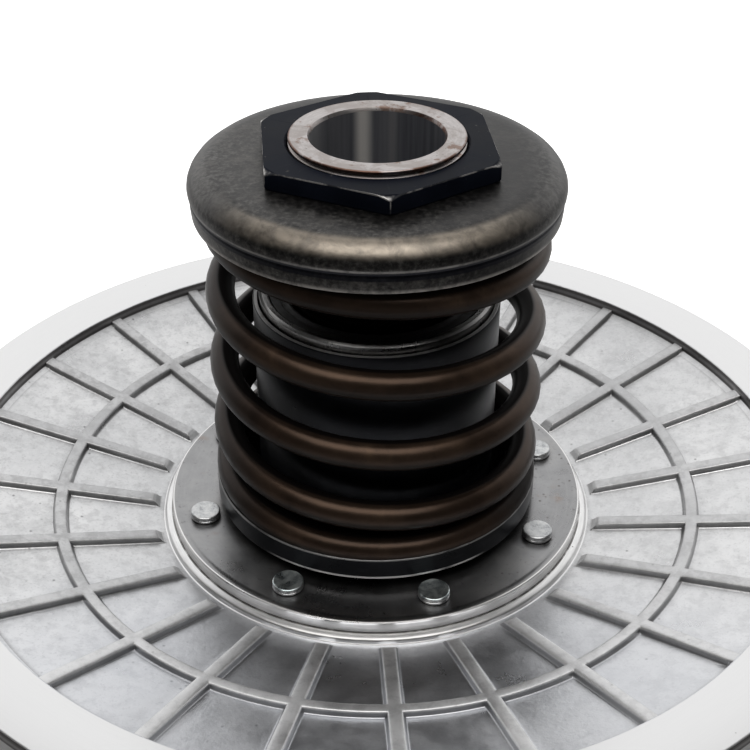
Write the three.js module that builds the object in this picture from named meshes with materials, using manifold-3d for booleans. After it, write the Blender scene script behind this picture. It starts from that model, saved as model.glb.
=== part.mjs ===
// Driven pulley of a rubber-belt variator: a splined hub tube with a fixed
// sheave riveted to its lower flange, a second sheave that slides and turns on
// the tube, four guide pins with rollers in helical slots, and a coil spring
// held under a pressed cup by a thin hexagon locknut.
// Millimetres, +Z along the hub axis. The origin is the centre of the hub's
// lower end face. Rest pose: sheaves closed together.
// Suffixes: _R radius, _Z height, _T thickness, _N count, _PHASE azimuth in degrees.
import * as THREE from 'three';
import { mergeVertices } from 'three/addons/utils/BufferGeometryUtils.js';
import Module from 'manifold-3d';

const wasm = await Module();
wasm.setup();
const rad = THREE.MathUtils.degToRad;

// ---- shared dimensions -------------------------------------------------------
const FLAT_Z = 23.84;         // sliding sheave's flat inner face
const CLOSED_GAP = 0.5;       // between the two flats at rest
const MIRROR_Z = 2 * FLAT_Z - CLOSED_GAP;   // fixed side is at MIRROR_Z - z
const BOSS_Z = 35.5;          // seat of the riveted flange
const CASTING_CLEARANCE = 0.3;   // sheave bore round the sleeve or the hub

const FLANGE_R = 47.1, FLANGE_T = 2.75;     // riveted flanges of sleeve and hub
const FLANGE_Z = 38.3;                      // sleeve flange's outer side
const RIVET_HOLE_R = 2.8, RIVET_PCD_R = 40.3;

const SPIGOT_R = 24;          // hub, inside the fixed sheave
const BORE_R = 13.6, THREAD_R = 17.9;       // hub
const THREAD_CLEARANCE = 0.25;              // cup and nut round the thread
const SLEEVE_R = 25.1, SLEEVE_BORE_R = 20.7;
const SLEEVE_LOW = 24.0, SLEEVE_TOP = 91.3;
const POCKET_R = 23.2, POCKET_DEPTH = 5.4;  // oil seal pockets in the sleeve's ends
const SEALING_RING_Z = [44.4, 83.5];
const SEAT_LOW = 40.5, SEAT_TOP = 45.6;     // lower spring seat
const CUP_TOP = 120.4, CUP_T = 2.0;

const PIN_Z = 73.5, PIN_R = 2.9;

const SEGMENTS_LARGE = 48, SEGMENTS_MEDIUM = 32, SEGMENTS_SMALL = 24;
const SEGMENTS_PIN = 12, SEGMENTS_RIVET = 8;

// azimuths in radians, evenly spaced round the axis from a phase in degrees
const spaced = (count, phase) =>
  Array.from({ length: count }, (_, k) => rad(phase + 360 / count * k));
const rivetAngles = spaced(8, -72.3);
const pinAngles = spaced(4, 45);

// ---- geometry helpers ----------------------------------------------------------
const polar = (radius, angle) =>
  new THREE.Vector2(radius * Math.cos(angle), radius * Math.sin(angle));
const regularPolygon = (radius, count, phase = 0) =>
  spaced(count, phase).map((angle) => polar(radius, angle));

// (r, z) outline turned about Z; a piece without a bore starts and ends at r = 0
function turned(outline, segments) {
  const loop = outline.map(([r, z]) => new THREE.Vector2(r, z));
  if (THREE.ShapeUtils.area(loop) <= 0) loop.reverse();
  if (loop[0].x !== 0) loop.push(loop[0]);
  return new THREE.LatheGeometry(loop, segments).rotateX(Math.PI / 2);
}

const ring = (innerR, outerR, low, high, segments) =>
  turned([[innerR, low], [outerR, low], [outerR, high], [innerR, high]], segments);

function axialCylinder(radius, low, high, segments) {
  return new THREE.CylinderGeometry(radius, radius, high - low, segments)
    .rotateX(Math.PI / 2)
    .translate(0, 0, (low + high) / 2);
}

// cylinder lying along +X, between two distances from the Z axis
function radialCylinder(radius, from, to) {
  return new THREE.CylinderGeometry(radius, radius, to - from, SEGMENTS_PIN)
    .rotateZ(-Math.PI / 2)
    .translate((from + to) / 2, 0, 0);
}

function extruded(corners, options) {
  const shape = new THREE.Shape(corners);
  shape.closePath();
  return new THREE.ExtrudeGeometry(shape, { bevelEnabled: false, ...options });
}

// welds the vertices by position alone, so that the mesh is watertight
function solid(geometry) {
  const bare = geometry.clone();
  for (const name of Object.keys(bare.attributes)) {
    if (name !== 'position') bare.deleteAttribute(name);
  }
  const welded = mergeVertices(bare, 1e-4);
  return new wasm.Manifold(new wasm.Mesh({
    numProp: 3,
    vertProperties: new Float32Array(welded.attributes.position.array),
    triVerts: new Uint32Array(welded.index.array),
  }));
}

function fromSolid(body) {
  const mesh = body.getMesh();
  const geometry = new THREE.BufferGeometry();
  const positions = new Float32Array(mesh.vertProperties);
  geometry.setAttribute('position', new THREE.BufferAttribute(positions, 3));
  geometry.setIndex(Array.from(mesh.triVerts));
  geometry.computeVertexNormals();
  return geometry;
}

const addAll = (body, parts) => parts.reduce((sum, part) => sum.add(solid(part)), body);
const cutAll = (body, cutters) => cutters.reduce((rest, cut) => rest.subtract(solid(cut)), body);

const rivetHoles = (low, high) => rivetAngles.map((angle) =>
  axialCylinder(RIVET_HOLE_R, low, high, SEGMENTS_RIVET)
    .translate(RIVET_PCD_R, 0, 0)
    .rotateZ(angle));

// height on the sliding side, or its mirror image on the fixed side
const sideHeight = (mirrored) => (z) => (mirrored ? MIRROR_Z - z : z);

// ---- materials and placing -----------------------------------------------------
const materials = {
  aluminium: { color: 0xb4b6b8, roughness: 0.5, metalness: 0.9 },
  steel: { color: 0x77787a, roughness: 0.35, metalness: 1.0 },
  hub: { color: 0x9a9690, roughness: 0.35, metalness: 1.0 },
  oxide: { color: 0x14151a, roughness: 0.4, metalness: 0.8 },
  pressed: { color: 0x4a4743, roughness: 0.45, metalness: 0.9 },
  spring: { color: 0x33261f, roughness: 0.4, metalness: 0.7 },
  collar: { color: 0x17191d, roughness: 0.35, metalness: 0.8 },
  zinc: { color: 0xc8c9ca, roughness: 0.4, metalness: 1.0 },
  bronze: { color: 0x8c6a3c, roughness: 0.4, metalness: 1.0 },
  rubber: { color: 0x101010, roughness: 0.8, metalness: 0.0 },
};

const group = new THREE.Group();

function place(name, geometry, material, parent = group) {
  const mesh = new THREE.Mesh(geometry, new THREE.MeshStandardMaterial(materials[material]));
  mesh.name = name;
  parent.add(mesh);
  return mesh;
}

// subgroup whose +X points outward at the given azimuth
function placeSpoke(angle, z = 0) {
  const spoke = new THREE.Group();
  spoke.rotation.z = angle;
  spoke.position.z = z;
  group.add(spoke);
  return spoke;
}

// ---- sheave castings -------------------------------------------------------------
// dished back with one ring rib and radial ribs, raised flat rim, conical belt face;
// heights are those of the sliding sheave
const SHEAVE_R = 107.6;
const FACE_IN_R = 44;         // belt face starts here, flat inside it
const FACE_SLOPE = 0.2493;    // belt face, tangent of 14 degrees
const FACE_OUT_Z = FLAT_Z + (SHEAVE_R - FACE_IN_R) * FACE_SLOPE;
const RIM_IN_R = 94.6, RIM_Z = 46.2;
const RIM_DRAFT = 0.2;        // half the radial run of the rim's inner edge
const FLOOR_IN_R = 49.3, FLOOR_IN_Z = 34.1;
const FLOOR_OUT_R = RIM_IN_R - RIM_DRAFT, FLOOR_OUT_Z = 43.2;
const BOSS_R = FLANGE_R + 0.9;
const RIB_H = 1.5;
const RING_RIB = { footIn: 70.3, topIn: 70.9, topOut: 73.2, footOut: 73.8 };   // radii

const RIB_N = 24, RIB_PHASE = 3;
const RIB_OUT_R = RIM_IN_R + 1.5;
// rise is measured from the dish floor; the foot is sunk in it and widened to match,
// and the top stays under the ring rib where they cross
const RIB_TOP = { innerR: 52.0, halfWidth: 2.7 / 2, rise: RIB_H - 0.12 };
const RIB_FOOT = { innerR: 49.9, halfWidth: 3.9 / 2 + 0.35, rise: -1.0 };

const floorZ = (radius) => FLOOR_IN_Z
  + (radius - FLOOR_IN_R) * (FLOOR_OUT_Z - FLOOR_IN_Z) / (FLOOR_OUT_R - FLOOR_IN_R);

function sheaveOutline(boreR) {
  const { footIn, topIn, topOut, footOut } = RING_RIB;
  return [
    [boreR, FLAT_Z], [FACE_IN_R, FLAT_Z], [SHEAVE_R, FACE_OUT_Z],
    [SHEAVE_R, RIM_Z], [RIM_IN_R + RIM_DRAFT, RIM_Z], [FLOOR_OUT_R, FLOOR_OUT_Z],
    [footOut, floorZ(footOut)], [topOut, floorZ(topOut) + RIB_H],
    [topIn, floorZ(topIn) + RIB_H], [footIn, floorZ(footIn)],
    [FLOOR_IN_R, FLOOR_IN_Z], [BOSS_R, BOSS_Z], [boreR, BOSS_Z],
  ];
}

function radialRib(mirrored, angle) {
  const toSide = sideHeight(mirrored);
  const rib = new THREE.BoxGeometry(2, 2, 2);
  const corners = rib.attributes.position;
  for (let i = 0; i < corners.count; i++) {
    const edge = corners.getZ(i) > 0 ? RIB_TOP : RIB_FOOT;
    const radius = corners.getX(i) > 0 ? RIB_OUT_R : edge.innerR;
    const across = corners.getY(i) * edge.halfWidth;
    corners.setXYZ(i, radius, across, toSide(floorZ(radius) + edge.rise));
  }
  if (mirrored) {
    // mirroring turned the faces inside out
    const index = rib.index.array;
    for (let i = 0; i < index.length; i += 3) {
      [index[i + 1], index[i + 2]] = [index[i + 2], index[i + 1]];
    }
  }
  return rib.rotateZ(angle);
}

function sheave(mirrored, innerPartR) {
  const toSide = sideHeight(mirrored);
  const outline = sheaveOutline(innerPartR + CASTING_CLEARANCE).map(([r, z]) => [r, toSide(z)]);
  const ribs = spaced(RIB_N, RIB_PHASE).map((angle) => radialRib(mirrored, angle));
  const [holeLow, holeHigh] = [toSide(FLAT_Z - 2), toSide(BOSS_Z + 2)].sort((a, b) => a - b);
  const body = addAll(solid(turned(outline, SEGMENTS_LARGE)), ribs);
  return fromSolid(cutAll(body, rivetHoles(holeLow, holeHigh)));
}

// ---- rivets through flange and casting ---------------------------------------------
const RIVET_SHANK_R = 2.5, RIVET_SHANK_LOW = FLAT_Z + 0.3;
const RIVET_HEAD_R = 3.3, RIVET_HEAD_LOW = FLANGE_Z + 0.05, RIVET_HEAD_TOP = FLANGE_Z + 1.6;

function rivet(mirrored) {
  const toSide = sideHeight(mirrored);
  return turned([
    [0, RIVET_SHANK_LOW], [RIVET_SHANK_R, RIVET_SHANK_LOW], [RIVET_SHANK_R, RIVET_HEAD_LOW],
    [RIVET_HEAD_R, RIVET_HEAD_LOW], [RIVET_HEAD_R, RIVET_HEAD_TOP], [0, RIVET_HEAD_TOP],
  ].map(([r, z]) => [r, toSide(z)]), SEGMENTS_RIVET);
}

function placeRivets(prefix, mirrored) {
  rivetAngles.forEach((angle, k) => {
    const mesh = place(prefix + (k + 1), rivet(mirrored), 'zinc', placeSpoke(angle));
    mesh.position.x = RIVET_PCD_R;
    mesh.rotation.z = Math.PI / 2;      // same corners as its hole
  });
}

// ---- hub: splined tube with a riveting flange ----------------------------------------
const HUB_TOP = 125.5;
const HUB_FOOT_R = 20;        // tube below the flange
const HUB_FLANGE_LOW = MIRROR_Z - FLANGE_Z, HUB_FLANGE_TOP = HUB_FLANGE_LOW + FLANGE_T;
const SPIGOT_TOP = 21, POST_R = 18.9, POST_LOW = 22.4;
const POST_TOP = CUP_TOP - CUP_T - 0.03;     // shoulder just under the cup
const THREAD_GROOVE_DEPTH = 0.6;
const SPLINE_N = 20, SPLINE_L = 36;
const SPLINE_MINOR_R = 11.3, SPLINE_MAJOR_R = 12.7;
const SPLINE_CUT_R = SPLINE_MINOR_R - 1.3;   // where the cutter's teeth join up
const SPLINE_MOUTH = 1.2;                    // chamfer at the lower end
const PIN_HOLE_R = PIN_R + 0.25, PIN_HOLE_FROM = 10, PIN_HOLE_TO = 22;

function splineCutter() {
  const pitch = 2 * Math.PI / SPLINE_N;
  // one groove: fraction of the pitch, radius
  const groove = [
    [-0.28, SPLINE_CUT_R], [-0.20, SPLINE_MAJOR_R], [0.20, SPLINE_MAJOR_R], [0.28, SPLINE_CUT_R],
  ];
  const corners = Array.from({ length: SPLINE_N }, (_, k) =>
    groove.map(([fraction, radius]) => polar(radius, (k + fraction) * pitch))).flat();
  return extruded(corners, { depth: SPLINE_L + 6 }).translate(0, 0, -3);
}

function hub() {
  const outline = [
    [SPLINE_MINOR_R + SPLINE_MOUTH, 0], [HUB_FOOT_R - 0.6, 0], [HUB_FOOT_R, 0.6],
    [HUB_FOOT_R, HUB_FLANGE_LOW], [FLANGE_R - 0.3, HUB_FLANGE_LOW],
    [FLANGE_R, HUB_FLANGE_LOW + 0.4], [FLANGE_R, HUB_FLANGE_TOP],
    [SPIGOT_R, HUB_FLANGE_TOP], [SPIGOT_R, SPIGOT_TOP], [POST_R, POST_LOW],
    [POST_R, POST_TOP], [THREAD_R, POST_TOP],
    [THREAD_R, HUB_TOP - 1.15], [THREAD_R - THREAD_GROOVE_DEPTH, HUB_TOP - 0.95],
    [THREAD_R, HUB_TOP - 0.7], [THREAD_R, HUB_TOP],
    [BORE_R + 0.7, HUB_TOP], [BORE_R, HUB_TOP - 1.1], [BORE_R, SPLINE_L + 2],
    [SPLINE_MINOR_R, SPLINE_L], [SPLINE_MINOR_R, SPLINE_MOUTH],
  ];
  const pinHoles = pinAngles.map((angle) =>
    radialCylinder(PIN_HOLE_R, PIN_HOLE_FROM, PIN_HOLE_TO).translate(0, 0, PIN_Z).rotateZ(angle));
  return fromSolid(cutAll(solid(turned(outline, SEGMENTS_MEDIUM)), [
    splineCutter(),
    ...pinHoles,
    ...rivetHoles(HUB_FLANGE_LOW - 1, HUB_FLANGE_TOP + 1),
  ]));
}

// ---- sliding sleeve: flange, seal pockets, ring grooves, helical slots -----------------
const SHOULDER_R = 30, SHOULDER_TOP = SEAT_LOW - 0.2;    // step between flange and seat
const GROOVE_DEPTH = 1.5, GROOVE_HALF = 0.95;
const TRAVEL = 20, TWIST = rad(40);          // sleeve's rise and its turn with it
const SLOT_HALF = 4.85;                      // half the slot's width
const SLOT_REF_R = (SLEEVE_BORE_R + SLEEVE_R) / 2;       // slot is laid out at mid-wall
const SLOT_CUT_FROM = SLEEVE_BORE_R - 1.2, SLOT_CUT_TO = SLEEVE_R + 1.6;

function sleeveOutline() {
  const bottomR = SLEEVE_R - GROOVE_DEPTH;
  const grooves = SEALING_RING_Z.flatMap((z) => [
    [SLEEVE_R, z - GROOVE_HALF], [bottomR, z - GROOVE_HALF],
    [bottomR, z + GROOVE_HALF], [SLEEVE_R, z + GROOVE_HALF],
  ]);
  return [
    [POCKET_R, SLEEVE_LOW], [SLEEVE_R, SLEEVE_LOW], [SLEEVE_R, FLANGE_Z - FLANGE_T],
    [FLANGE_R, FLANGE_Z - FLANGE_T], [FLANGE_R, FLANGE_Z - 0.4], [FLANGE_R - 0.3, FLANGE_Z],
    [SHOULDER_R, FLANGE_Z], [SHOULDER_R, SHOULDER_TOP], [SLEEVE_R, SHOULDER_TOP],
    ...grooves,
    [SLEEVE_R, SLEEVE_TOP - 0.5], [SLEEVE_R - 0.5, SLEEVE_TOP], [POCKET_R, SLEEVE_TOP],
    [POCKET_R, SLEEVE_TOP - POCKET_DEPTH], [SLEEVE_BORE_R, SLEEVE_TOP - POCKET_DEPTH],
    [SLEEVE_BORE_R, SLEEVE_LOW + POCKET_DEPTH], [POCKET_R, SLEEVE_LOW + POCKET_DEPTH],
  ];
}

// follows the roller's helical path down through the wall, with round ends
function slotCutter(startAngle) {
  const runArc = -SLOT_REF_R * TWIST, runZ = -TRAVEL;
  const length = Math.hypot(runArc, runZ);
  const unitArc = runArc / length, unitZ = runZ / length;
  const box = new THREE.BoxGeometry(1, 1, 1, 6, 2, 1);
  const points = box.attributes.position;
  for (let i = 0; i < points.count; i++) {
    const along = (points.getX(i) + 0.5) * length;
    const across = points.getY(i) * 2 * SLOT_HALF;
    const radius = points.getZ(i) > 0 ? SLOT_CUT_TO : SLOT_CUT_FROM;
    const arc = along * unitArc - across * unitZ;
    const { x, y } = polar(radius, startAngle + arc / SLOT_REF_R);
    points.setXYZ(i, x, y, PIN_Z + along * unitZ + across * unitArc);
  }
  const ends = [0, 1].map((end) => radialCylinder(SLOT_HALF, SLOT_CUT_FROM, SLOT_CUT_TO)
    .translate(0, 0, PIN_Z + end * runZ)
    .rotateZ(startAngle - end * TWIST));
  return addAll(solid(box), ends);
}

function sleeve() {
  let body = solid(turned(sleeveOutline(), SEGMENTS_MEDIUM));
  for (const angle of pinAngles) body = body.subtract(slotCutter(angle));
  return fromSolid(cutAll(body, rivetHoles(FLANGE_Z - FLANGE_T - 1, FLANGE_Z + 1)));
}

// ---- bushes, oil seals and sealing rings of the sleeve -----------------------------------
const BUSH_IN_R = 19.2, BUSH_OUT_R = 20.5;
const SEAL_LIP_R = 19.3, SEAL_IN_R = SEAL_LIP_R + 1.1, SEAL_OUT_R = 22.9;
const SEALING_RING_R = 24.65, SEALING_RING_SECTION_R = 0.5;

const bush = (low, high) => ring(BUSH_IN_R, BUSH_OUT_R, low, high, SEGMENTS_SMALL);

// lipOffset: height of the lip from mid-seal
function oilSeal(low, high, lipOffset) {
  return turned([
    [SEAL_IN_R, low], [SEAL_OUT_R, low], [SEAL_OUT_R, high], [SEAL_IN_R, high],
    [SEAL_LIP_R, (low + high) / 2 + lipOffset],
  ], SEGMENTS_SMALL);
}

function sealingRing(centreZ) {
  const section = regularPolygon(SEALING_RING_SECTION_R, 5);
  return turned(section.map(({ x, y }) => [SEALING_RING_R + x, centreZ + y]), SEGMENTS_SMALL);
}

// ---- guide pins and rollers -----------------------------------------------------------
const ROLLER_IN_R = 3.2, ROLLER_R = 4.3;
const ROLLER_FROM = 20.9, ROLLER_TO = 24.3;  // distances from the hub axis
const PIN_FROM = BORE_R + 0.8, PIN_TO = ROLLER_TO - 0.1;

function placeGuides() {
  pinAngles.forEach((angle, k) => {
    const spoke = placeSpoke(angle, PIN_Z);
    place('guide_pin_' + (k + 1), radialCylinder(PIN_R, PIN_FROM, PIN_TO), 'steel', spoke);
    const roller = ring(ROLLER_IN_R, ROLLER_R, ROLLER_FROM, ROLLER_TO, SEGMENTS_PIN);
    place('guide_roller_' + (k + 1), roller.rotateY(Math.PI / 2), 'steel', spoke);
  });
}

// ---- seal collar with the lower spring seat -----------------------------------------------
const COLLAR_IN_R = 25.4, COLLAR_R = 26.4, COLLAR_TOP = 89.3;
const SEAT_R = 36.3;

const sealCollar = () => turned([
  [COLLAR_IN_R, SEAT_LOW], [SEAT_R - 0.4, SEAT_LOW], [SEAT_R, SEAT_LOW + 0.5],
  [SEAT_R, SEAT_TOP - 0.4], [SEAT_R - 0.4, SEAT_TOP],
  [COLLAR_R + 1, SEAT_TOP], [COLLAR_R, SEAT_TOP + 1],
  [COLLAR_R, COLLAR_TOP - 0.3], [COLLAR_R - 0.3, COLLAR_TOP], [COLLAR_IN_R, COLLAR_TOP],
], SEGMENTS_MEDIUM);

// ---- coil spring, left-hand, closed ends --------------------------------------------------
const WIRE_R = 3.1, COIL_R = 33.15;
const COIL_PHASE = 2;         // azimuth of the lower end
// turns from the lower end, height of the wire's centre
const COIL = [
  [0, 45.2], [0.25, 46.2], [0.5, 47.9], [1.0, 52.4], [1.25, 55.0], [2.0, 67.9],
  [2.25, 70.5], [3.0, 84.4], [3.25, 87.3], [4.0, 102.2], [4.25, 105.7], [4.5, 108.4],
  [4.75, 109.8], [5.0, 111.3], [5.25, 113.3], [5.5, 115.0],
];
const COIL_TURNS = COIL.at(-1)[0];

// monotone cubic through the table, whose heights always rise
const spans = COIL.slice(1).map(([turns], i) => turns - COIL[i][0]);
const slopes = COIL.slice(1).map(([, z], i) => (z - COIL[i][1]) / spans[i]);
const tangents = COIL.map((_, i) => {
  if (i === 0) return slopes[0];
  if (i === slopes.length) return slopes[i - 1];
  const weightBelow = 2 * spans[i] + spans[i - 1];
  const weightAbove = spans[i] + 2 * spans[i - 1];
  return (weightBelow + weightAbove) / (weightBelow / slopes[i - 1] + weightAbove / slopes[i]);
});

function coilHeight(turns) {
  let i = 0;
  while (i < spans.length - 1 && turns > COIL[i + 1][0]) i++;
  const x = (turns - COIL[i][0]) / spans[i];
  const rest = 1 - x;
  return COIL[i][1] * (1 + 2 * x) * rest * rest
    + COIL[i + 1][1] * x * x * (3 - 2 * x)
    + spans[i] * tangents[i] * x * rest * rest
    - spans[i] * tangents[i + 1] * x * x * rest;
}

class CoilCurve extends THREE.Curve {
  getPoint(fraction, target = new THREE.Vector3()) {
    const turns = fraction * COIL_TURNS;
    const { x, y } = polar(COIL_R, rad(COIL_PHASE - 360 * turns));
    return target.set(x, y, coilHeight(turns));
  }
}

function spring() {
  const path = new CoilCurve();
  path.arcLengthDivisions = 1200;
  const coil = extruded(regularPolygon(WIRE_R, 8), { steps: 92, extrudePath: path });
  // the lower end is ground flat where it stands on the seat
  return fromSolid(solid(coil).trimByPlane([0, 0, 1], SEAT_TOP + 0.03));
}

// ---- pressed spring cup ---------------------------------------------------------------------
const CUP_R = 38.5, CUP_LOW = 110.2;
const CUP_BORE_R = THREAD_R + THREAD_CLEARANCE;

// (r, z): inside outward and down to the lip, then up the outside
const springCup = () => turned([
  [CUP_BORE_R, CUP_TOP - CUP_T], [32.8, CUP_TOP - CUP_T], [34.2, CUP_TOP - CUP_T - 0.15],
  [35.5, 117.7], [36.4, 116.4], [36.7, 114.6], [36.6, CUP_LOW],
  [37.7, CUP_LOW], [38.1, CUP_LOW + 0.5], [38.25, 113.9], [CUP_R, 114.8], [CUP_R, 115.9],
  [38.0, 117.6], [36.9, 119.1], [35.2, 120.05], [33.0, CUP_TOP], [CUP_BORE_R, CUP_TOP],
], SEGMENTS_MEDIUM);

// ---- thin hexagon locknut ---------------------------------------------------------------------
const NUT_ACROSS_FLATS = 46, NUT_PHASE = -84.63;
const NUT_LOW = CUP_TOP + 0.05, NUT_TOP = 124.3;
const NUT_FACE_R = 25.4;      // flat top face, inside the 30 degree chamfer
const NUT_BLANK_R = 30;       // clears the corners
const NUT_CUT_HALF = 6;       // half the length of the bore cutter

function lockNut() {
  const prism = extruded(
    regularPolygon(NUT_ACROSS_FLATS / Math.sqrt(3), 6, NUT_PHASE),
    { depth: NUT_TOP - NUT_LOW },
  ).translate(0, 0, NUT_LOW);
  const chamferLow = NUT_TOP - (NUT_BLANK_R - NUT_FACE_R) * Math.tan(rad(30));
  const blank = turned([
    [0, NUT_LOW - 1], [NUT_BLANK_R, NUT_LOW - 1], [NUT_BLANK_R, chamferLow],
    [NUT_FACE_R, NUT_TOP], [0, NUT_TOP],
  ], SEGMENTS_LARGE);
  const middle = (NUT_LOW + NUT_TOP) / 2;
  const bore = axialCylinder(THREAD_R + THREAD_CLEARANCE,
    middle - NUT_CUT_HALF, middle + NUT_CUT_HALF, SEGMENTS_MEDIUM);
  return fromSolid(solid(prism).intersect(solid(blank)).subtract(solid(bore)));
}

// ---- assembly ---------------------------------------------------------------------------------
place('fixed_sheave', sheave(true, SPIGOT_R), 'aluminium');
place('sliding_sheave', sheave(false, SLEEVE_R), 'aluminium');
placeRivets('sleeve_rivet_', false);
placeRivets('hub_rivet_', true);
place('fixed_hub', hub(), 'hub');
place('sliding_sleeve', sleeve(), 'steel');
place('lower_bush', bush(30.5, 45.5), 'bronze');
place('upper_bush', bush(79.5, 85.5), 'bronze');
place('lower_oil_seal',
  oilSeal(SLEEVE_LOW + 0.5, SLEEVE_LOW + POCKET_DEPTH - 0.3, -0.8), 'rubber');
place('upper_oil_seal',
  oilSeal(SLEEVE_TOP - POCKET_DEPTH + 0.3, SLEEVE_TOP - 0.5, 0.8), 'rubber');
place('lower_sealing_ring', sealingRing(SEALING_RING_Z[0]), 'rubber');
place('upper_sealing_ring', sealingRing(SEALING_RING_Z[1]), 'rubber');
placeGuides();
place('seal_collar', sealCollar(), 'collar');
place('compression_spring', spring(), 'spring');
place('spring_cup', springCup(), 'pressed');
place('lock_nut', lockNut(), 'oxide');

export default group;
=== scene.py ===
"""A belt pulley: two ribbed conical sheaves on a hub tube, closed by a coil spring
that is held under a pressed cup and a lock nut.

The axis is Z. The foot of the hub is at z = 0 and its threaded end at z = H_TOP. The
fixed sheave is below, the sliding sheave above it, and the viewer looks from -Y, above.
Meshes are measured in millimetres; shaders, lights and camera are in metres.
"""
import math
from contextlib import contextmanager

import bmesh
import bpy
import numpy as np
from mathutils import Matrix, Vector


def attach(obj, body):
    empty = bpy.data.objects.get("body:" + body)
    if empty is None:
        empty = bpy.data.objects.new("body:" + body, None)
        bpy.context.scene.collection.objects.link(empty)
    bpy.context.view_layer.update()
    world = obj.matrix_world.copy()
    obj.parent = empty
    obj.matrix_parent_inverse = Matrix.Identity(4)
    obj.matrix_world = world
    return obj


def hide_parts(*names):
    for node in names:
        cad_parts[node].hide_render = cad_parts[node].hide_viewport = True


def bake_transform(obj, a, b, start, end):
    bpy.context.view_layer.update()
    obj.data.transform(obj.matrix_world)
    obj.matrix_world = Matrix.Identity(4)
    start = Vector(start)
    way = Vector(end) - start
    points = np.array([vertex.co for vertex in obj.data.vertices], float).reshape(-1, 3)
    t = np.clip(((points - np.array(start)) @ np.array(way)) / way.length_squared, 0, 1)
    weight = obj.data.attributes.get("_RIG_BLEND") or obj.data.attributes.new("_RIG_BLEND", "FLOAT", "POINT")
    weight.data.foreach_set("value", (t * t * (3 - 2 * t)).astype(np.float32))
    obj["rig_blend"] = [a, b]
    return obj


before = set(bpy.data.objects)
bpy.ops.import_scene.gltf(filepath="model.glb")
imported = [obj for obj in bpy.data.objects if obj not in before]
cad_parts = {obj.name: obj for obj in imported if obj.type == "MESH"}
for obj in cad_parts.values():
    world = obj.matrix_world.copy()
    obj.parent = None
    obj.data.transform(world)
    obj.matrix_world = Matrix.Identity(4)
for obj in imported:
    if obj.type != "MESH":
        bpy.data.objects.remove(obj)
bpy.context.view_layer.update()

MM = 0.001

# ------------------------------------------------------------------ shared sizes, mm
H_TOP = 125.5                               # threaded end of the hub
FLAT_Z, GAP = 23.84, 0.5                    # flat inner face, gap between the sheaves
MIRROR_Z = 2 * FLAT_Z - GAP                 # the fixed sheave has z -> MIRROR_Z - z
SHEAVE_R, RIM_Z = 107.6, 46.2
FACE_TAN, FACE_IN = 0.2493, 44.0            # belt face: slope and radius where it starts
FLOOR_R0, FLOOR_Z0, FLOOR_R1, FLOOR_Z1 = 49.3, 34.1, 94.4, 43.2
FLOOR_SLOPE = (FLOOR_Z1 - FLOOR_Z0) / (FLOOR_R1 - FLOOR_R0)
BOSS_Z, FLANGE_Z, FLANGE_R = 35.5, 38.3, 47.1
PLATE_Z, FLANGE_T = 38.08, 2.75             # dished flange plate, flange thickness
PLATE_R, STEP_R, LAND_R = 45.0, 45.7, 46.2  # radii of the step from plate to flange land
POST_R, BORE_R, THREAD_R = 18.9, 13.6, 17.9
SLEEVE_R, SLEEVE_LOW, SLEEVE_TOP = 25.1, 24.0, 91.3
PIN_Z = 73.5                                # height of the pin holes
QUARTERS = [math.radians(45 + 90 * k) for k in range(4)]
SEAT_Z = 45.6                               # spring seat on the collar


# ------------------------------------------------------------------ mesh tools
@contextmanager
def editing(mesh):
    bm = bmesh.new()
    bm.from_mesh(mesh)
    yield bm
    bm.to_mesh(mesh)
    bm.free()


def place(name, data):
    ob = bpy.data.objects.new(name, data)
    bpy.context.scene.collection.objects.link(ob)
    return ob


def mesh_object(name, verts, faces, weld=False):
    """An object from vertices in mm, with its normals facing out."""
    mesh = bpy.data.meshes.new(name)
    mesh.from_pydata([tuple(v) for v in np.asarray(verts, float) * MM], [], faces)
    if weld:
        mesh.validate()
    with editing(mesh) as bm:
        if weld:
            bmesh.ops.remove_doubles(bm, verts=bm.verts, dist=1e-7)
        bmesh.ops.recalc_face_normals(bm, faces=bm.faces)
    return place(name, mesh)


def mark_sharp(bm, angle):
    limit = math.radians(angle)
    for edge in bm.edges:
        edge.smooth = not (len(edge.link_faces) == 2 and edge.calc_face_angle(0.0) > limit)


def shade(ob, angle, weighted=True):
    """Smooth shading, broken at edges sharper than angle (degrees)."""
    mesh = ob.data
    mesh.polygons.foreach_set("use_smooth", [True] * len(mesh.polygons))
    with editing(mesh) as bm:
        mark_sharp(bm, angle)
    if weighted:
        normals = ob.modifiers.new("normals", "WEIGHTED_NORMAL")
        normals.keep_sharp = True
        normals.weight = 50


def wear(ob, *skins, second=None):
    """Dress ob in skins; second(radius, z) in mm picks faces for the second one."""
    ob.data.materials.clear()
    for skin in skins:
        ob.data.materials.append(SKINS[skin])
    if second:
        centres = [face.center for face in ob.data.polygons]
        picks = [int(second(math.hypot(c.x, c.y) / MM, c.z / MM)) for c in centres]
        ob.data.polygons.foreach_set("material_index", picks)


def cut(ob, cutters):
    """Subtract each cutter from ob and delete it."""
    for cutter in cutters:
        modifier = ob.modifiers.new("cut", "BOOLEAN")
        modifier.operation = "DIFFERENCE"
        modifier.solver = "EXACT"
        modifier.object = cutter
        bpy.context.view_layer.objects.active = ob
        for other in bpy.context.selected_objects:
            other.select_set(False)
        ob.select_set(True)
        bpy.ops.object.modifier_apply(modifier=modifier.name)
        data = cutter.data
        bpy.data.objects.remove(cutter)
        bpy.data.meshes.remove(data)


def add_part(name, verts, faces, body, slot, replaced, skins, smooth=30, weighted=True,
             cutters=(), second=None):
    """Build a part that rides on body and stands for the CAD piece replaced."""
    ob = mesh_object(name, verts, faces, weld=True)
    shade(ob, smooth, weighted and not cutters)
    if cutters:
        cut(ob, cutters)
        shade(ob, 28)
    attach(ob, body)
    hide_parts(replaced)
    wear(ob, *skins, second=second)
    return ob


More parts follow.
